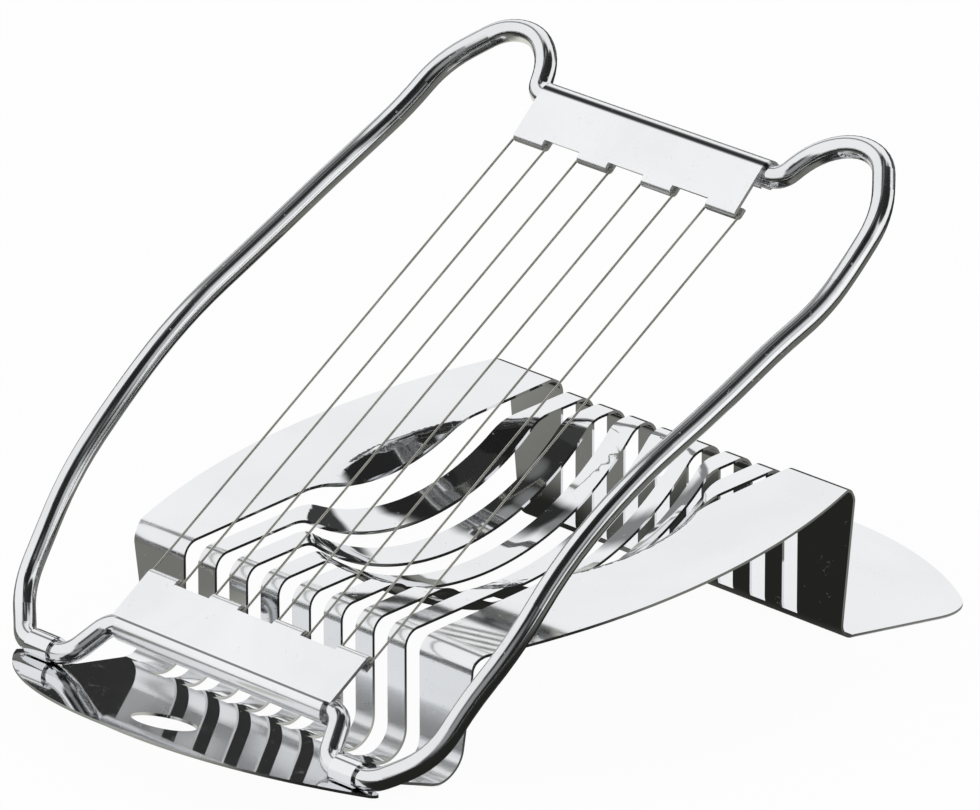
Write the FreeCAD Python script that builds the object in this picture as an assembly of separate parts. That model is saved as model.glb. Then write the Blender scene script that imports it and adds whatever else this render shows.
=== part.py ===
import FreeCAD, Part
import math
import os

# Egg slicer in polished stainless steel: a bent sheet base with a slotted egg dish, and a
# hinged wire frame that carries eight cutting strands between two folded sheet carriers.
# Millimetres. X across, Y from front to rear, Z up, origin on the table under the middle.

os.makedirs("parts", exist_ok=True)
V = FreeCAD.Vector

# Base side profile: reach of the feet beyond the hinge and the rear wall, walls from the hinge
sheet = 0.4
front_reach = 15.6
front_wall_at = 18.2
rear_wall_at = 86.5
rear_foot_length = 30.7
plate_front_height = 17.2
plate_rear_height = 22.9
finger_sag = 1.1
foot_slope = 15.0
front_foot_bend = 3.5
front_top_bend = 2.1
rear_top_bend = 2.0
rear_foot_bend = 2.1

# Base half widths, each as the margin outside the outermost strand
foot_bend_margin = 8.6
front_wall_margin = 11.0
plate_margin = 17.8
rear_wall_margin = 11.6
rear_wall_foot_margin = 9.4
rear_foot_margin = 13.9
rear_foot_arc = 58.0
rear_foot_corner = 6.0
ear_margin = 12.6
ear_rear = 1.3
ear_corner = 1.2
ear_bulge = 4.4
neck_gap = 0.35
neck_length = 3.2

# Egg dish, on the plate: oval, with an arc for its floor and an arc over its rim
dish_at = 55.0
dish_half_length = 29.4
dish_half_width = 26.4
dish_depth = 11.6
dish_rim_round = 3.0

# Cutting strands and the slots they pass through
strand_pitch = 6.0
strand_count = 8
strand_wire = 0.32
slot_width = 2.8
slot_front_at = 12.3
slot_rear_floor = 1.7

# Hanging hole in the front foot
hole_at = -5.5
hole_radius = 4.35

# Frame wire and its hinge
frame_wire = 3.0
hinge_clearance = 0.05
lug_margin = 8.05
lug_width = 4.2
lug_end_gap = 0.15
rest_angle = 34.1
crank_reach = 6.8
crank_rise = 0.5
crank_lean = 2.9
crank_bend = 3.2
lug_run_out = 0.15
top_bar_overhang = 13.7
top_bar_rise = 1.7
top_corner_margin = 1.8
top_bend = 2.6

# Arm of the frame wire: margin outside the outermost strand, reach and rise from the hinge
arm_points = [
    (15.7, 3.8, 0.0),
    (19.9, 17.2, 3.4),
    (20.8, 39.5, 6.9),
    (21.6, 72.2, 3.3),
]

# Loop at the arm's top: the same margin and rise, with the reach taken from the top bar
loop_points = [
    (21.4, -11.5, 1.0),
    (17.9, 3.1, 1.7),
    (13.2, 7.7, 2.0),
    (2.8, 2.5, 1.9),
]

# Carriers that hold the strands
carrier_sheet = 0.5
carrier_seat_gap = 0.03
lower_carrier_depth = 7.6
upper_carrier_depth = 6.6
upper_carrier_tilt = 11.0
tab_notch = 0.4
hook_gap = 0.7
hook_lip = 1.0
tab_side_gap = 0.15
roll_opening = 50.0
strand_seat_gap = 0.03

# Worked-out places
overall_length = front_reach + rear_wall_at + rear_foot_length
hinge_y = front_reach - overall_length / 2
wire_radius = frame_wire / 2
lug_bore = wire_radius + hinge_clearance
strand_span = (strand_count - 1) * strand_pitch / 2
strand_x = [-strand_span + strand_pitch * i for i in range(strand_count)]
lug_middle = strand_span + lug_margin
foot_bend_half = strand_span + foot_bend_margin
front_wall_half = strand_span + front_wall_margin
rear_wall_half = strand_span + rear_wall_margin
rear_wall_foot_half = strand_span + rear_wall_foot_margin
top_bar_reach = rear_wall_at + top_bar_overhang
far = 2 * overall_length


def mirrored(shape):
    return shape.mirror(V(0, 0, 0), V(1, 0, 0))


def corner_arc(first, corner, last):
    """Arc between two points at the same distance from a corner, along the corner's sides."""
    back = (first - corner).normalize()
    ahead = (last - corner).normalize()
    half = back.getAngle(ahead) / 2
    radius = (first - corner).Length * math.tan(half)
    top = corner + (back + ahead).normalize() * (radius / math.sin(half) - radius)
    return Part.Arc(first, top, last).toShape()


def rounded_path(corners, radii):
    """Edges of a line through the corners, with each inner corner rounded by an arc."""
    edges = []
    start = corners[0]
    for before, corner, after, radius in zip(corners, corners[1:], corners[2:], radii):
        back = (before - corner).normalize()
        ahead = (after - corner).normalize()
        reach = radius / math.tan(back.getAngle(ahead) / 2)
        first = corner + back * reach
        last = corner + ahead * reach
        edges.append(Part.makeLine(start, first))
        edges.append(corner_arc(first, corner, last))
        start = last
    edges.append(Part.makeLine(start, corners[-1]))
    return edges


def arc_chain(points, first_way, last_way):
    """Smooth run of arcs through the points, two arcs between each pair of points."""
    steps = [after - before for before, after in zip(points, points[1:])]
    ways = [first_way]
    for before, after in zip(steps, steps[1:]):
        way = before / before.Length ** 2 + after / after.Length ** 2
        ways.append(way.normalize())
    ways.append(last_way)
    edges = []
    for start, end, leave, arrive in zip(points, points[1:], ways, ways[1:]):
        step = end - start
        along = step.dot(leave + arrive)
        spread = 2 - 2 * leave.dot(arrive)
        reach = step.dot(step) / (math.sqrt(along ** 2 + spread * step.dot(step)) + along)
        first = start + leave * reach
        last = end - arrive * reach
        middle = (first + last) / 2
        edges.append(corner_arc(start, first, middle))
        edges.append(corner_arc(middle, last, end))
    return edges


def prism(edges, direction):
    wire = Part.Wire(Part.__sortEdges__(edges))
    return Part.Face(wire).extrude(direction)


def outline(points):
    return [Part.makeLine(a, b) for a, b in zip(points, points[1:] + points[:1])]


def block(x, y, z):
    """A box from three pairs of limits."""
    size = [limits[1] - limits[0] for limits in (x, y, z)]
    return Part.makeBox(size[0], size[1], size[2], V(x[0], y[0], z[0]))


# Base side profile: the sheet's upper face, from the front foot to the rear foot

slope = math.radians(foot_slope)
front_face = hinge_y + front_wall_at
rear_face = hinge_y + rear_wall_at
bend_y = front_face - front_foot_bend
bend_lowest = front_foot_bend + sheet


def foot_height(y):
    """Height of the front foot's upper face."""
    upper = bend_lowest - front_foot_bend / math.cos(slope)
    return upper + (bend_y - y) * math.tan(slope)


def plate_slope(sag):
    """Lean of the plate where its rear edge sits a sag below that of the side flanges."""
    return math.atan2(plate_rear_height - sag - plate_front_height, rear_face - front_face)


def plate_height(y, sag):
    return plate_front_height + (y - front_face) * math.tan(plate_slope(sag))


hinge_z = foot_height(hinge_y) + lug_bore / math.cos(slope)
hinge = V(0, hinge_y, hinge_z)


def base_side(depth, sag):
    """The sheet's side line, at a depth below its upper face."""
    front_end = -overall_length
    rear_end = overall_length
    foot_drop = depth / math.cos(slope)
    plate_drop = depth / math.cos(plate_slope(sag))
    corners = [
        V(0, front_end, foot_height(front_end) - foot_drop),
        V(0, front_face + depth, foot_height(front_face + depth) - foot_drop),
        V(0, front_face + depth, plate_height(front_face + depth, sag) - plate_drop),
        V(0, rear_face - depth, plate_height(rear_face - depth, sag) - plate_drop),
        V(0, rear_face - depth, sheet - depth),
        V(0, rear_end, sheet - depth),
    ]
    radii = [
        front_foot_bend + depth,
        front_top_bend + sheet - depth,
        rear_top_bend + sheet - depth,
        rear_foot_bend + depth,
    ]
    return rounded_path(corners, radii)


def bent_strip(sag):
    upper = base_side(0, sag)
    lower = base_side(sheet, sag)
    ends = [
        Part.makeLine(upper[0].Vertexes[0].Point, lower[0].Vertexes[0].Point),
        Part.makeLine(upper[-1].Vertexes[1].Point, lower[-1].Vertexes[1].Point),
    ]
    strip = prism(upper + lower + ends, V(far, 0, 0))
    strip.translate(V(-far / 2, 0, 0))
    return strip


# Base outline: what is trimmed off beside the foot, the walls and the plate

def outside(region, edges, direction):
    """The part of a region that lies outside an outline drawn on one side and mirrored."""
    half = prism(edges, direction)
    return region.cut(half.fuse(mirrored(half)))


def front_foot_trim():
    tip = hinge_y - front_reach
    ear_half = strand_span + ear_margin
    corner_y = hinge_y + ear_rear
    ear_front = corner_y - 2 * ear_corner
    neck_half = lug_middle - lug_width / 2 - neck_gap
    neck_y = hinge_y + neck_length
    slant = ear_corner * math.sin(math.pi / 4)
    ear_side = V(ear_half, ear_front, 0)
    ear_turn = V(ear_half - ear_corner + slant, corner_y - ear_corner + slant, 0)
    ear_back = V(ear_half - ear_corner, corner_y, 0)
    chord = ear_side - V(0, tip, 0)
    bulge = V(chord.y, -chord.x, 0).normalize() * ear_bulge
    edges = [
        Part.makeLine(V(0, bend_y, 0), V(0, tip, 0)),
        Part.Arc(V(0, tip, 0), V(0, tip, 0) + chord / 2 + bulge, ear_side).toShape(),
        Part.Arc(ear_side, ear_turn, ear_back).toShape(),
        Part.makeLine(ear_back, V(neck_half, corner_y, 0)),
        Part.makeLine(V(neck_half, corner_y, 0), V(neck_half, neck_y, 0)),
        Part.makeLine(V(neck_half, neck_y, 0), V(foot_bend_half, bend_y, 0)),
        Part.makeLine(V(foot_bend_half, bend_y, 0), V(0, bend_y, 0)),
    ]
    region = block((-far, far), (-far, bend_y), (0, far))
    return outside(region, edges, V(0, 0, far))


def wall_trim(y, bottom_half, top_half, top):
    points = [V(0, y[0], 0), V(bottom_half, y[0], 0), V(top_half, y[0], top), V(0, y[0], top)]
    region = block((-far, far), y, (0, top))
    return outside(region, outline(points), V(0, y[1] - y[0], 0))


def plate_trim(front_top, rear_top):
    front = front_face + sheet
    rear = rear_face - sheet
    middle = (front + rear) / 2
    edges = [
        Part.makeLine(V(0, front_face, 0), V(front_wall_half, front_face, 0)),
        Part.makeLine(V(front_wall_half, front_face, 0), V(front_wall_half, front, 0)),
        Part.Arc(
            V(front_wall_half, front, 0),
            V(strand_span + plate_margin, middle, 0),
            V(rear_wall_half, rear, 0),
        ).toShape(),
        Part.makeLine(V(rear_wall_half, rear, 0), V(rear_wall_half, rear_face, 0)),
        Part.makeLine(V(rear_wall_half, rear_face, 0), V(0, rear_face, 0)),
        Part.makeLine(V(0, rear_face, 0), V(0, front_face, 0)),
    ]
    region = block((-far, far), (front, rear), (0, far))
    front_bend = block((-far, far), (front_face, front), (front_top, far))
    rear_bend = block((-far, far), (rear, rear_face), (rear_top, far))
    return outside(region.fuse([front_bend, rear_bend]), edges, V(0, 0, far))


def rear_foot_trim():
    start = rear_face + rear_foot_bend
    rear_foot_half = strand_span + rear_foot_margin
    tail = overall_length / 2
    arc_drop = rear_foot_arc - math.sqrt(rear_foot_arc ** 2 - rear_foot_half ** 2)
    arc_side = V(rear_foot_half, tail - arc_drop, 0)
    middle_x = rear_foot_half / 2
    middle_drop = rear_foot_arc - math.sqrt(rear_foot_arc ** 2 - middle_x ** 2)
    edges = [
        Part.makeLine(V(0, tail, 0), V(0, start, 0)),
        Part.makeLine(V(0, start, 0), V(rear_wall_foot_half, start, 0)),
        Part.makeLine(V(rear_wall_foot_half, start, 0), arc_side),
        Part.Arc(arc_side, V(middle_x, tail - middle_drop, 0), V(0, tail, 0)).toShape(),
    ]
    half = prism(edges, V(0, 0, far))
    corner = [
        edge for edge in half.Edges
        if (edge.Vertexes[0].Point - edge.Vertexes[-1].Point).Length > far / 2
        and abs(edge.Vertexes[0].Point.x - arc_side.x) < sheet
    ]
    half = half.makeFillet(rear_foot_corner, corner)
    region = block((-far, far), (start, far), (0, far))
    return region.cut(half.fuse(mirrored(half)))


# Egg dish: drawn round in the plate's own plane, then stretched to an oval along the plate

dish_floor = (dish_half_width ** 2 + dish_depth ** 2) / (2 * dish_depth) - dish_rim_round
dish_lean = math.asin(dish_half_width / (dish_floor + dish_rim_round))


def dish_line(depth):
    """Half of the dish's section, at a depth below the sheet's upper face."""
    floor_centre = V(0, 0, dish_floor - dish_depth)
    rim_centre = V(0, dish_half_width, -dish_rim_round)
    angles = (0, dish_lean / 2, dish_lean)
    ways = [V(0, math.sin(angle), -math.cos(angle)) for angle in angles]
    floor = [floor_centre + way * (dish_floor + depth) for way in ways]
    rim = [rim_centre - way * (dish_rim_round - depth) for way in ways]
    return [Part.Arc(*floor).toShape(), Part.Arc(*rim).toShape()]


def on_plate(shape, sag):
    """Stretch a shape to the dish's oval and set it down on the plate."""
    stretch = FreeCAD.Matrix()
    stretch.A22 = dish_half_length / dish_half_width
    middle = hinge_y + dish_at
    oval = shape.transformGeometry(stretch)
    oval.rotate(V(0, 0, 0), V(1, 0, 0), math.degrees(plate_slope(sag)))
    oval.translate(V(0, middle, plate_height(middle, sag)))
    return oval


def press_dish(plate, sag):
    upper = dish_line(0)
    lower = dish_line(sheet)
    edges = upper + lower + [
        Part.makeLine(V(0, 0, -dish_depth), V(0, 0, -dish_depth - sheet)),
        Part.makeLine(V(0, dish_half_width, 0), V(0, dish_half_width, -sheet)),
    ]
    section = Part.Face(Part.Wire(Part.__sortEdges__(edges)))
    dish = section.revolve(V(0, 0, 0), V(0, 0, 1), 360)
    opening = Part.makeCylinder(dish_half_width, 4 * sheet, V(0, 0, -2 * sheet))
    return plate.cut(on_plate(opening, sag)).fuse(on_plate(dish, sag))


# Slots, hanging hole and hinge lugs of the base

def strand_slots():
    slots = []
    front_end = hinge_y + slot_front_at
    front_back = front_face + sheet + front_top_bend
    for x in strand_x:
        width = (x - slot_width / 2, x + slot_width / 2)
        slots.append(block(width, (front_end, front_back), (-far, far)))
        slots.append(block(width, (front_end, far), (slot_rear_floor, far)))
    return slots


def hanging_hole():
    y = hinge_y + hole_at
    upward = V(0, math.sin(slope), math.cos(slope))
    start = V(0, y, foot_height(y)) - upward * hole_radius
    return Part.makeCylinder(hole_radius, 2 * hole_radius, start, upward)


def hinge_lug():
    """Tab curled over the frame wire, with its free end just clear of the foot."""
    left = V(lug_middle - lug_width / 2, hinge_y, hinge_z)
    curl = Part.makeCylinder(lug_bore + sheet, lug_width, left, V(1, 0, 0))
    bore = Part.makeCylinder(lug_bore, lug_width, left, V(1, 0, 0))
    gap = block(
        (lug_middle - lug_width, lug_middle + lug_width),
        (-2 * lug_bore, -lug_bore / 4),
        (0, lug_end_gap),
    )
    gap.rotate(V(0, 0, 0), V(1, 0, 0), -foot_slope)
    gap.translate(V(0, hinge_y, foot_height(hinge_y)))
    return curl.cut([bore, gap])


def pressed_strip(sag):
    """The whole base before it is slotted, with its plate at a sag."""
    front_top = plate_front_height - sheet - front_top_bend
    rear_top = plate_rear_height - sheet - rear_top_bend
    front_wall = (bend_y, front_face + sheet)
    rear_wall = (rear_face - sheet, rear_face + rear_foot_bend)
    strip = bent_strip(sag).cut([
        front_foot_trim(),
        wall_trim(front_wall, foot_bend_half, front_wall_half, front_top),
        plate_trim(front_top, rear_top),
        wall_trim(rear_wall, rear_wall_foot_half, rear_wall_half, rear_top),
        rear_foot_trim(),
    ])
    return press_dish(strip, sag)


def base_plate():
    """Level side flanges and sagging fingers, which share the feet and part at the outer slots."""
    middle = block((-strand_span, strand_span), (-far, far), (-far, far))
    flanges = pressed_strip(0).cut([middle] + strand_slots())
    fingers = pressed_strip(finger_sag).common(middle).cut(strand_slots() + [hanging_hole()])
    lug = hinge_lug()
    return flanges.fuse([fingers, lug, mirrored(lug)])


# Frame, drawn with its strands level along Y and the hinge at the origin

def to_rest(shape):
    shape.rotate(V(0, 0, 0), V(1, 0, 0), rest_angle)
    shape.translate(hinge)
    return shape


crank_turn = math.atan2(math.hypot(crank_reach, crank_rise), crank_lean)
crank_bend_run = crank_bend * math.tan(crank_turn / 2)
crank_corner = lug_middle - lug_width / 2 - lug_run_out - crank_bend_run
lower_bar_half = crank_corner - crank_lean - crank_bend_run


def frame_half_path():
    hinge_end = V(lug_middle + lug_width / 2 + lug_run_out, 0, 0)
    crank = rounded_path(
        [
            V(0, crank_reach, crank_rise),
            V(crank_corner - crank_lean, crank_reach, crank_rise),
            V(crank_corner, 0, 0),
            hinge_end,
        ],
        [crank_bend, crank_bend],
    )
    points = [V(strand_span + out, reach, rise) for out, reach, rise in arm_points]
    points += [V(strand_span + out, top_bar_reach + reach, rise) for out, reach, rise in loop_points]
    top_corner = V(strand_span + top_corner_margin, top_bar_reach, top_bar_rise)
    way_in = (top_corner - points[-1]).normalize()
    arm = arc_chain([hinge_end] + points, V(1, 0, 0), way_in)
    top = rounded_path([points[-1], top_corner, V(0, top_bar_reach, top_bar_rise)], [top_bend])
    return Part.Wire(crank + arm + top)


def frame_loop():
    path = frame_half_path()
    start = path.Vertexes[0].Point
    profile = Part.Wire(Part.makeCircle(wire_radius, start, V(1, 0, 0)))
    half = path.makePipeShell([profile], True, False)
    return half.fuse(mirrored(half)).removeSplitter()


# Carriers: a sheet rolled round the frame's cross bar, with tabs that hook the strands

roll_radius = wire_radius + carrier_seat_gap
carrier_half = strand_span - strand_wire / 2 - tab_side_gap
tab_half = strand_pitch / 2 - strand_wire / 2 - tab_side_gap
tab_middles = [(a + b) / 2 for a, b in zip(strand_x[0::2], strand_x[1::2])]
hook_radius = hook_gap / 2
hook_rise = roll_radius - hook_radius


def carrier(depth, roll_half):
    """Carrier with its cross bar on the X axis and its tabs at a depth along Y."""
    across = (-carrier_half, carrier_half)
    left = V(-roll_half, 0, 0)
    roll = Part.makeCylinder(roll_radius + carrier_sheet, 2 * roll_half, left, V(1, 0, 0))
    opening = block(across, (0, far), (0, roll_radius))
    opening.rotate(V(0, 0, 0), V(1, 0, 0), -roll_opening)
    face = block(across, (0, depth - tab_notch), (roll_radius, roll_radius + carrier_sheet))
    shape = roll.cut(opening).fuse(face)
    for middle in tab_middles:
        shape = shape.fuse(hook_tab(middle, depth))
    bore = Part.makeCylinder(roll_radius, 2 * roll_half, left, V(1, 0, 0))
    return shape.cut(bore).removeSplitter()


def hook_tab(middle, depth):
    across = (middle - tab_half, middle + tab_half)
    start = V(across[0], depth, hook_rise)
    width = across[1] - across[0]
    outer = Part.makeCylinder(hook_radius + carrier_sheet, width, start, V(1, 0, 0))
    inner = Part.makeCylinder(hook_radius, width, start, V(1, 0, 0))
    rear_half = block(across, (depth, far), (-far, far))
    lip_top = hook_rise - hook_radius
    upper = block(across, (depth - tab_notch, depth), (roll_radius, roll_radius + carrier_sheet))
    lip = block(across, (depth - hook_lip, depth), (lip_top - carrier_sheet, lip_top))
    return outer.cut(inner).common(rear_half).fuse([upper, lip])


lower_seat = FreeCAD.Placement(V(0, crank_reach, crank_rise), FreeCAD.Rotation())
upper_seat = FreeCAD.Placement(
    V(0, top_bar_reach, top_bar_rise),
    FreeCAD.Rotation(V(1, 0, 0), upper_carrier_tilt).multiply(FreeCAD.Rotation(V(0, 0, 1), 180)),
)


def seated_carrier(depth, roll_half, seat):
    shape = carrier(depth, roll_half)
    shape.Placement = seat
    return shape


# Cutting wire: one closed loop hooked over each pair of tabs, which gives two strands

def strand_loop(middle):
    pull = hook_radius - strand_wire / 2 - strand_seat_gap
    lower = lower_seat.multVec(V(0, lower_carrier_depth + pull, hook_rise))
    upper = upper_seat.multVec(V(0, upper_carrier_depth + pull, hook_rise))
    place = V(middle, 0, 0)
    side = V(middle + strand_pitch / 2, 0, 0)
    path = Part.makePolygon([lower + place, lower + side, upper + side, upper + place])
    profile = Part.Wire(Part.makeCircle(strand_wire / 2, lower + place, V(1, 0, 0)))
    half = path.makePipeShell([profile], True, False, 1)
    return half.fuse(half.mirror(place, V(1, 0, 0))).removeSplitter()


parts = {
    "base_plate": base_plate(),
    "frame_wire": to_rest(frame_loop()),
    "lower_carrier": to_rest(seated_carrier(lower_carrier_depth, lower_bar_half, lower_seat)),
    "upper_carrier": to_rest(seated_carrier(upper_carrier_depth, carrier_half, upper_seat)),
}
for number, middle in enumerate(tab_middles, start=1):
    parts["cutting_wire_%d" % number] = to_rest(strand_loop(middle))

for name, shape in parts.items():
    print(name, "solids", len(shape.Solids), "valid", shape.isValid(), "volume", round(shape.Volume, 1))
    shape.exportStep("parts/%s.step" % name)
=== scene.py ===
import math

import bpy
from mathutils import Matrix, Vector

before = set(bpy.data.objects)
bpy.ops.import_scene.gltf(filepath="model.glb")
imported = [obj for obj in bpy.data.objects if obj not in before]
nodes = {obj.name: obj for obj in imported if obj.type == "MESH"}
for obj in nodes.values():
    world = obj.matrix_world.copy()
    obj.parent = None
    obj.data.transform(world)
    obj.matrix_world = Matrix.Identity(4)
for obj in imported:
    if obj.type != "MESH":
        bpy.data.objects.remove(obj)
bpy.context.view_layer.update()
print("frame loaded:", len(nodes), "nodes")

white = (1, 1, 1, 1)


# nodes and links

def feed(tree, socket, value):
    if isinstance(value, bpy.types.NodeSocket):
        tree.links.new(value, socket)
    else:
        socket.default_value = value


def addNode(tree, kind, **settings):
    node = tree.nodes.new(kind)
    for key, value in settings.items():
        if key in node.inputs:
            feed(tree, node.inputs[key], value)
        else:
            setattr(node, key, value)
    return node


def mapRange(tree, source, fromMin, fromMax, toMin, toMax, curve="LINEAR"):
    node = addNode(tree, "ShaderNodeMapRange", interpolation_type=curve)
    for index, value in enumerate((source, fromMin, fromMax, toMin, toMax)):
        feed(tree, node.inputs[index], value)
    return node.outputs[0]


def fadeIn(tree, source, start, full, depth=1.0):
    return mapRange(tree, source, start, full, 0.0, depth, "SMOOTHSTEP")


def blendTo(tree, share, first, second):
    return mapRange(tree, share, 0.0, 1.0, first, second)


def mathNode(tree, operation, first, second=0.0):
    node = addNode(tree, "ShaderNodeMath", operation=operation)
    feed(tree, node.inputs[0], first)
    feed(tree, node.inputs[1], second)
    return node.outputs[0]


def vectorNode(tree, operation, first, second, output):
    node = addNode(tree, "ShaderNodeVectorMath", operation=operation)
    feed(tree, node.inputs[0], first)
    feed(tree, node.inputs[1], second)
    return node.outputs[output]


def mixColor(tree, share, first, second):
    node = addNode(tree, "ShaderNodeMix", data_type="RGBA", Factor=share, A=first, B=second)
    return node.outputs["Result"]


def mixShader(tree, share, first, second):
    node = tree.nodes.new("ShaderNodeMixShader")
    for index, value in enumerate((share, first.outputs[0], second.outputs[0])):
        tree.links.new(value, node.inputs[index])
    return node


def objectPlace(tree):
    return tree.nodes.new("ShaderNodeTexCoord").outputs["Object"]


def seenDirectly(tree):
    rays = tree.nodes.new("ShaderNodeLightPath")
    return mathNode(tree, "MAXIMUM", rays.outputs["Is Camera Ray"], rays.outputs["Is Transmission Ray"])


# degrees from the front towards the right, and up
def towards(turn, height):
    turn = math.radians(turn)
    height = math.radians(height)
    level = math.cos(height)
    return Vector((math.sin(turn) * level, -math.cos(turn) * level, math.sin(height)))


# camera at the photograph's angle

view = {
    "yaw": 46.54,
    "pitch": 21.0,
    "target": (0.0, 0.00101, 0.03385),
    "distance": 1.5595,
    "lens": 441.1,
    "sensor": 36,
    "clip": 0.05,
}

outward = towards(view["yaw"], view["pitch"])
bpy.ops.object.select_all(action="DESELECT")
bpy.ops.object.camera_add(
    location=Vector(view["target"]) + outward * view["distance"],
    rotation=outward.to_track_quat("Z", "Y").to_euler(),
)
camera = bpy.context.object
camera.data.sensor_width = view["sensor"]
camera.data.lens = view["lens"]
camera.data.clip_start = view["clip"]
bpy.context.scene.camera = camera
print("camera placed")


# studio: white surroundings with a dark ceiling, dark flags behind the camera and soft panels

studio = {"skyLevel": 0.62, "lineEnds": (0.0, 0.2), "lampAim": (0, 0, 0.03)}

# turn from the front towards the right, height, inner and outer reach in degrees, how dark
darkFlags = {
    "ceiling": (0, 90, 25, 33, 0.97),
    "sideLow": (60, -25, 30, 44, 0.985),
    "sideMiddle": (62, 10, 32, 46, 0.985),
    "sideHigh": (50, 50, 24, 36, 0.985),
    "frontTop": (2, 68, 10, 15, 0.95),
    "rearRight": (143, 50, 20.5, 26, 0.98),
    "rearHorizon": (-142, -8, 19, 25, 0.97),
    "rearCorner": (-168, 8, 14, 18, 0.95),
}

# upright gap between two panels, and the line where the backdrop meets the floor
darkLines = {
    "leftGap": {"across": (-14, 0), "along": (-104, 0), "inner": 3, "outer": 9, "depth": 0.75},
    "horizon": {"across": (0, 90), "along": (-60, 0), "inner": 1.5, "outer": 4.5, "depth": 0.75},
}

# placed as the flags are, with the level of light last; the skylights keep the plates grey from above
softPanels = {
    "overheadPanel": (-55, 60, 13, 18, 1.0),
    "rightPanel": (116, 15, 10, 17, 1.15),
    "sideWindow": (92, 32, 6, 16, 0.5),
    "roomBehind": (43, 26, 8, 26, 0.3),
    "rearSkylight": (-135, 74.5, 1, 6, 0.3),
    "leftSkylight": (-95, 80, 1, 7, 0.2),
    "frontSkylight": (7, 80, 1, 7, 0.16),
}


def facing(tree, direction, turn, height, inner, outer, strength):
    toMiddle = vectorNode(tree, "DOT_PRODUCT", direction, towards(turn, height), "Value")
    return fadeIn(tree, toMiddle, math.cos(math.radians(outer)), math.cos(math.radians(inner)), strength)


def crossing(tree, direction, line):
    side = vectorNode(tree, "DOT_PRODUCT", direction, towards(*line["across"]), "Value")
    side = mathNode(tree, "ABSOLUTE", side)
    outer = math.sin(math.radians(line["outer"]))
    inner = math.sin(math.radians(line["inner"]))
    near = fadeIn(tree, side, outer, inner, line["depth"])
    ahead = vectorNode(tree, "DOT_PRODUCT", direction, towards(*line["along"]), "Value")
    ahead = mapRange(tree, ahead, *studio["lineEnds"], 0.0, 1.0)
    return mathNode(tree, "MULTIPLY", near, ahead)


world = bpy.data.worlds.new("studioWorld")
bpy.context.scene.world = world
world.use_nodes = True
tree = world.node_tree
tree.nodes.clear()
output = tree.nodes.new("ShaderNodeOutputWorld")
direction = tree.nodes.new("ShaderNodeTexCoord").outputs["Generated"]
dark = 0.0
for flag in darkFlags.values():
    dark = mathNode(tree, "MAXIMUM", facing(tree, direction, *flag), dark)
for line in darkLines.values():
    dark = mathNode(tree, "MAXIMUM", crossing(tree, direction, line), dark)
mirrored = mathNode(tree, "SUBTRACT", 1.0, dark)
for *place, level in softPanels.values():
    mirrored = blendTo(tree, facing(tree, direction, *place, 1.0), mirrored, level)
plainSky = addNode(tree, "ShaderNodeBackground", Color=white, Strength=studio["skyLevel"])
mirrorSky = addNode(tree, "ShaderNodeBackground", Color=white, Strength=mirrored)
whiteSky = addNode(tree, "ShaderNodeBackground", Color=white, Strength=1.0)
inSteel = tree.nodes.new("ShaderNodeLightPath").outputs["Is Glossy Ray"]
unseenSky = mixShader(tree, inSteel, plainSky, mirrorSky)
sky = mixShader(tree, seenDirectly(tree), unseenSky, whiteSky)
tree.links.new(sky.outputs[0], output.inputs["Surface"])

lamps = {
    "keySoftbox": {"turn": -30, "height": 50, "away": 1.3, "size": 0.9, "power": 3.0},
    "sideSoftbox": {"turn": 115, "height": 10, "away": 1.2, "size": 0.42, "power": 0.7},
}

for name, lamp in lamps.items():
    aim = towards(lamp["turn"], lamp["height"])
    bpy.ops.object.light_add(
        type="AREA",
        location=aim * lamp["away"] + Vector(studio["lampAim"]),
        rotation=aim.to_track_quat("Z", "Y").to_euler(),
    )
    light = bpy.context.object
    light.name = name
    light.data.shape = "DISK"
    light.data.size = lamp["size"]
    light.data.energy = lamp["power"]
    light.visible_glossy = False      # the steel mirrors the world's soft panels instead
print("studio lit")


# pale floor

floorPlan = {"size": 6.0, "color": (0.93, 0.93, 0.93, 1), "glow": 0.96}


def emptyMaterial(name):
    material = bpy.data.materials.new(name)
    material.use_nodes = True
    material.node_tree.nodes.clear()
    return material, material.node_tree, material.node_tree.nodes.new("ShaderNodeOutputMaterial")


bpy.ops.mesh.primitive_plane_add(size=floorPlan["size"], location=(0, 0, 0))
floor = bpy.context.object
floor.name = "paleFloor"
floorMaterial, tree, output = emptyMaterial("paleFloor")
matte = addNode(tree, "ShaderNodeBsdfDiffuse", Color=floorPlan["color"])
glow = addNode(tree, "ShaderNodeEmission", Color=white, Strength=1.0)
share = mathNode(tree, "MULTIPLY", seenDirectly(tree), floorPlan["glow"])
floorMix = mixShader(tree, share, matte, glow)
tree.links.new(floorMix.outputs[0], output.inputs["Surface"])
floor.data.materials.append(floorMaterial)

# grey card on the floor, which only the steel's reflections see: it glows, and its level is painted light
# and shade
cardPlan = {
    "radius": 1.1,
    "sides": 96,
    "lift": 0.0001,
    "plain": 0.2,
    "edge": 0.03,
    "edgeFrom": (0.08, 0.2),
    "color": (1, 0.99, 0.9, 1),
}

# painted pools of light and shade on the card: middle, where it fades out and where it is full (m), level
paintedCardLightAndShade = {
    "leftGlow": ((-0.15, 0.05, 0), 0.11, 0.05, 0.8),
    "rearRight": ((0.12, 0.13, 0), 0.12, 0.06, 0.16),
    "frontGlow": ((0, -0.05, 0), 0.042, 0.022, 0.55),
    "frontRight": ((0.09, -0.06, 0), 0.085, 0.055, 0.02),
    "rearShade": ((-0.033, 0.045, 0), 0.026, 0.016, 0.02),
}

# painted shadow: dark oval below the plate: half its width and length (m), and its middle counted in them
paintedShadowOval = {
    "shape": (0.045, 0.03, 1),
    "middle": (0.444, 0.333, 0),
    "fade": (1.2, 0.8),
    "level": 0.02,
}


def away(tree, place, middle):
    return vectorNode(tree, "DISTANCE", place, middle, "Value")


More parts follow.
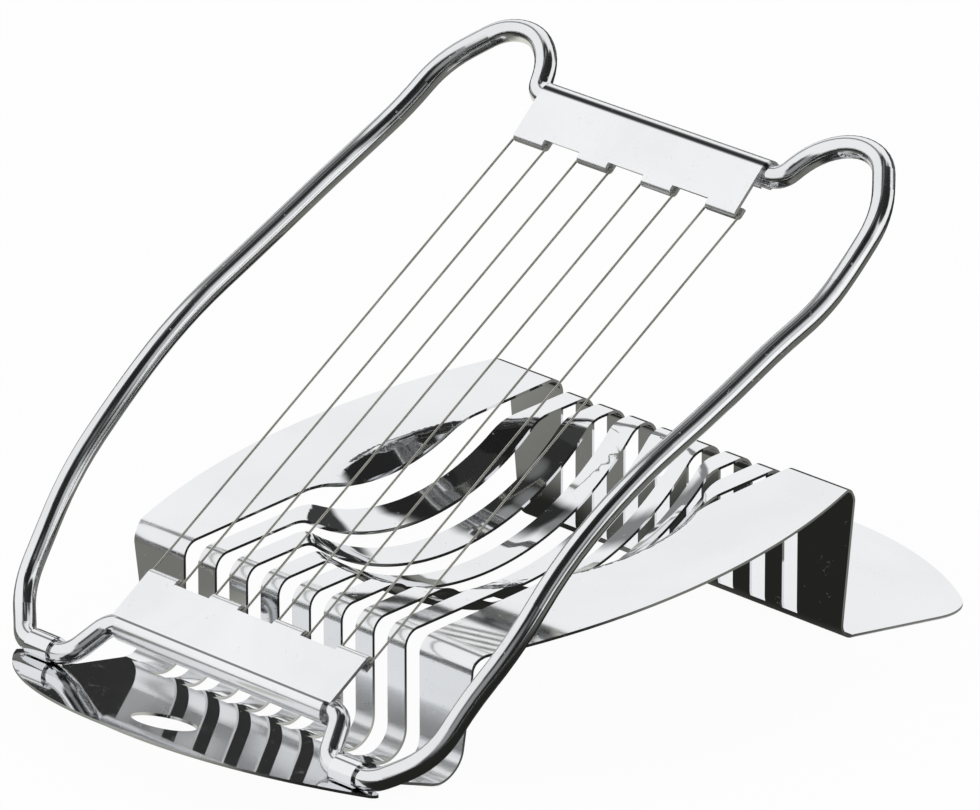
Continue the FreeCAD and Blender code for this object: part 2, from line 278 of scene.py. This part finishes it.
bpy.ops.mesh.primitive_circle_add(
    vertices=cardPlan["sides"],
    radius=cardPlan["radius"],
    fill_type="NGON",
    location=(0, 0, cardPlan["lift"]),
)
card = bpy.context.object
card.name = "greyCard"
card.visible_camera = False
card.visible_diffuse = False
card.visible_shadow = False
card.visible_transmission = False
cardMaterial, tree, output = emptyMaterial("greyCard")
place = objectPlace(tree)
fromMiddle = away(tree, place, (0, 0, 0))
level = mapRange(tree, fromMiddle, *cardPlan["edgeFrom"], cardPlan["plain"], cardPlan["edge"])
# painted light and shade blended into the card's glow
for middle, fadeOut, full, shade in paintedCardLightAndShade.values():
    level = blendTo(tree, fadeIn(tree, away(tree, place, middle), fadeOut, full), level, shade)
# painted shadow of the object, darkening the card below the plate
squeezed = vectorNode(tree, "DIVIDE", place, paintedShadowOval["shape"], "Vector")
share = fadeIn(tree, away(tree, squeezed, paintedShadowOval["middle"]), *paintedShadowOval["fade"])
level = blendTo(tree, share, level, paintedShadowOval["level"])
glow = addNode(tree, "ShaderNodeEmission", Color=cardPlan["color"], Strength=level)
tree.links.new(glow.outputs[0], output.inputs["Surface"])
card.data.materials.append(cardMaterial)
print("floor laid")


# marks that all the steel finishes share

polishDefaults = {"Along": 60.0, "Across": 2600.0, "Smudge Size": 45.0}
dustDefaults = {"Speck Size": 900.0, "Speck Share": 0.12, "Hair Size": 260.0, "Hair Share": 0.6}

# specks' least and largest reach in their cells, hairs' edge and core, size of the hairy patches
dustShape = {"speckReach": (0.08, 0.3), "hairLine": (0.012, 0.004), "patchSize": 330.0}


def newGroup(name, inputs, outputs):
    group = bpy.data.node_groups.new(name, "ShaderNodeTree")
    for label, value in inputs.items():
        socket = group.interface.new_socket(label, in_out="INPUT", socket_type="NodeSocketFloat")
        socket.default_value = value
    for label in outputs:
        group.interface.new_socket(label, in_out="OUTPUT", socket_type="NodeSocketFloat")
    return group, group.nodes.new("NodeGroupInput"), group.nodes.new("NodeGroupOutput")


def buildPolish():
    group, given, result = newGroup("polishMarks", polishDefaults, ["Lines", "Smudges"])
    place = objectPlace(group)
    along, across = given.outputs["Along"], given.outputs["Across"]
    stretch = addNode(group, "ShaderNodeCombineXYZ", X=along, Y=across, Z=across)
    scaled = vectorNode(group, "MULTIPLY", place, stretch.outputs[0], "Vector")
    lines = addNode(group, "ShaderNodeTexNoise", Vector=scaled, Scale=1.0, Detail=3.0, Roughness=0.6)
    group.links.new(lines.outputs["Fac"], result.inputs["Lines"])
    smudges = addNode(
        group, "ShaderNodeTexNoise",
        Vector=place, Scale=given.outputs["Smudge Size"], Detail=4.0, Roughness=0.55, Distortion=0.6,
    )
    group.links.new(smudges.outputs["Fac"], result.inputs["Smudges"])
    return group


def buildDust():
    group, given, result = newGroup("dustSpecks", dustDefaults, ["Dust"])
    place = objectPlace(group)
    cells = addNode(
        group, "ShaderNodeTexVoronoi",
        feature="F1", Vector=place, Scale=given.outputs["Speck Size"], Randomness=1.0,
    )
    chance = addNode(group, "ShaderNodeSeparateColor", Color=cells.outputs["Color"])
    chosen = mathNode(group, "LESS_THAN", chance.outputs[0], given.outputs["Speck Share"])
    reach = blendTo(group, chance.outputs[1], *dustShape["speckReach"])
    near = mathNode(group, "LESS_THAN", cells.outputs["Distance"], reach)
    specks = mathNode(group, "MULTIPLY", chosen, near)
    curls = addNode(
        group, "ShaderNodeTexNoise",
        Vector=place, Scale=given.outputs["Hair Size"], Detail=2.0, Roughness=0.6, Distortion=0.8,
    )
    offLine = mathNode(group, "ABSOLUTE", mathNode(group, "SUBTRACT", curls.outputs["Fac"], 0.5))
    line = mapRange(group, offLine, *dustShape["hairLine"], 0.0, 1.0)
    patches = addNode(group, "ShaderNodeTexNoise", Vector=place, Scale=dustShape["patchSize"], Detail=1.0)
    kept = mathNode(group, "GREATER_THAN", patches.outputs["Fac"], given.outputs["Hair Share"])
    hairs = mathNode(group, "MULTIPLY", line, kept)
    group.links.new(mathNode(group, "MAXIMUM", specks, hairs), result.inputs["Dust"])
    return group


polishMarks = buildPolish()
dustSpecks = buildDust()


def placeGroup(tree, group, values):
    node = tree.nodes.new("ShaderNodeGroup")
    node.node_tree = group
    for label, value in values.items():
        node.inputs[label].default_value = value
    return node


# steel finishes

# smudge levels between which the colour and the roughness change, and what dust and lines add
steelWearAndPaintedShade = {
    "colorFrom": (0.35, 0.65),
    "roughFrom": (0.3, 0.7),
    "dustRoughness": 0.6,
    "lineHeight": 0.00001,
    # share of a painted fold shade's half width that is fully dark
    "paintedShadeCore": 0.4,
}

# the front wall's two bends, rubbed duller: where the dull part starts and where it is full (m)
frontBends = [
    {"height": (0.0098, 0.0075), "front": (-0.0366, -0.0345), "back": (-0.031, -0.032), "roughness": 0.24},
    {"height": (0.0142, 0.0152), "front": (-0.0366, -0.0345), "back": (-0.0298, -0.0306), "roughness": 0.17},
]

# painted shade: dark lines painted along the carriers' folds, beside the rolls and on the upper tabs' hooks:
# the plate's run, the place along it and half the width (m), and how dark
upperRun = (0, 0.7054, 0.7088)
lowerRun = (0, 0.8281, 0.5606)
paintedFoldShade = [
    {"run": upperRun, "at": 0.06766, "half": 0.00055, "depth": 0.97},
    {"run": upperRun, "at": 0.05932, "half": 0.00045, "depth": 0.75},
    {"run": lowerRun, "at": -0.03216, "half": 0.00022, "depth": 0.8},
]

finishes = {
    "baseSheet": {
        "wornBy": ["base_plate"],
        "bright": (0.84, 0.85, 0.865, 1), "dull": (0.80, 0.81, 0.825, 1),
        "roughness": (0.025, 0.055), "metallic": 1.0, "bends": frontBends,
        "polish": {"Along": 60, "Across": 2600, "Smudge Size": 45}, "lineStrength": 0.03,
        "dust": {"Speck Size": 1600, "Speck Share": 0.05, "Hair Size": 420, "Hair Share": 0.66},
        "dustStrength": 0.19, "dustColor": (0.93, 0.93, 0.91, 1),
    },
    "frameRod": {
        "wornBy": ["frame_wire"],
        "bright": (0.82, 0.83, 0.845, 1), "dull": (0.77, 0.78, 0.795, 1),
        "roughness": (0.09, 0.15), "metallic": 1.0,
        "polish": {"Along": 900, "Across": 900, "Smudge Size": 90}, "lineStrength": 0.12,
        "dust": {"Speck Size": 1700, "Speck Share": 0.08, "Hair Size": 480, "Hair Share": 0.68},
        "dustStrength": 0.28, "dustColor": (0.9, 0.9, 0.88, 1),
    },
    "carrierSheet": {
        "wornBy": ["lower_carrier", "upper_carrier"],
        "bright": (0.915, 0.922, 0.935, 1), "dull": (0.88, 0.887, 0.9, 1),
        "roughness": (0.16, 0.24), "metallic": 0.84,
        "polish": {"Along": 60, "Across": 2600, "Smudge Size": 70}, "lineStrength": 0.1,
        "dust": {"Speck Size": 1500, "Speck Share": 0.06, "Hair Size": 400, "Hair Share": 0.68},
        "dustStrength": 0.3, "dustColor": (0.93, 0.93, 0.91, 1),
        "paintedFoldShades": paintedFoldShade, "paintedFoldShadeColor": (0.02, 0.022, 0.022, 1),
    },
    "strandWire": {
        "wornBy": ["cutting_wire_1", "cutting_wire_2", "cutting_wire_3", "cutting_wire_4"],
        "bright": (0.64, 0.625, 0.57, 1), "dull": (0.5, 0.485, 0.44, 1),
        "roughness": (0.03, 0.06), "metallic": 1.0,
        "polish": {"Along": 900, "Across": 4000, "Smudge Size": 160}, "lineStrength": 0.03,
        "dust": {"Speck Size": 1400, "Speck Share": 0.05, "Hair Size": 400, "Hair Share": 0.75},
        "dustStrength": 0.3, "dustColor": (0.6, 0.58, 0.52, 1),
    },
}


# painted shade: dark lines along the folds, to be mixed into the base colour
def paintFoldShade(tree, paintedFoldShades):
    place = objectPlace(tree)
    shade = 0.0
    for crease in paintedFoldShades:
        along = vectorNode(tree, "DOT_PRODUCT", place, crease["run"], "Value")
        off = mathNode(tree, "ABSOLUTE", mathNode(tree, "SUBTRACT", along, crease["at"]))
        core = crease["half"] * steelWearAndPaintedShade["paintedShadeCore"]
        shade = mathNode(tree, "MAXIMUM", fadeIn(tree, off, crease["half"], core, crease["depth"]), shade)
    return shade


def bendShare(tree, bend):
    parts = addNode(tree, "ShaderNodeSeparateXYZ", Vector=objectPlace(tree))
    inHeight = fadeIn(tree, parts.outputs["Z"], *bend["height"])
    behind = fadeIn(tree, parts.outputs["Y"], *bend["front"])
    before = mapRange(tree, parts.outputs["Y"], *bend["back"], 0.0, 1.0)
    return mathNode(tree, "MULTIPLY", inHeight, mathNode(tree, "MULTIPLY", behind, before))


def steel(name, finish):
    material = bpy.data.materials.new(name)
    material.use_nodes = True
    tree = material.node_tree
    shader = tree.nodes["Principled BSDF"]
    polish = placeGroup(tree, polishMarks, finish["polish"])
    smudges = polish.outputs["Smudges"]
    dust = placeGroup(tree, dustSpecks, finish["dust"]).outputs["Dust"]
    dirt = mathNode(tree, "MULTIPLY", dust, finish["dustStrength"])

    worn = mapRange(tree, smudges, *steelWearAndPaintedShade["colorFrom"], 0.0, 1.0)
    bare = mixColor(tree, worn, finish["dull"], finish["bright"])
    # painted shade along the folds darkens the base colour
    if "paintedFoldShades" in finish:
        bare = mixColor(tree, paintFoldShade(tree, finish["paintedFoldShades"]), bare, finish["paintedFoldShadeColor"])
    tree.links.new(mixColor(tree, dirt, bare, finish["dustColor"]), shader.inputs["Base Color"])
    tree.links.new(blendTo(tree, dirt, finish["metallic"], 0.0), shader.inputs["Metallic"])

    low, high = finish["roughness"]
    rough = mapRange(tree, smudges, *steelWearAndPaintedShade["roughFrom"], high, low)
    for bend in finish.get("bends", []):
        rough = blendTo(tree, bendShare(tree, bend), rough, bend["roughness"])
    tree.links.new(blendTo(tree, dirt, rough, steelWearAndPaintedShade["dustRoughness"]), shader.inputs["Roughness"])

    bump = addNode(
        tree, "ShaderNodeBump",
        Strength=finish["lineStrength"], Distance=steelWearAndPaintedShade["lineHeight"], Height=polish.outputs["Lines"],
    )
    tree.links.new(bump.outputs["Normal"], shader.inputs["Normal"])
    return material


for name, finish in finishes.items():
    material = steel(name, finish)
    for node in finish["wornBy"]:
        nodes[node].data.materials.clear()
        nodes[node].data.materials.append(material)
print("steel finished")


bpy.context.scene.view_settings.view_transform = "Standard"
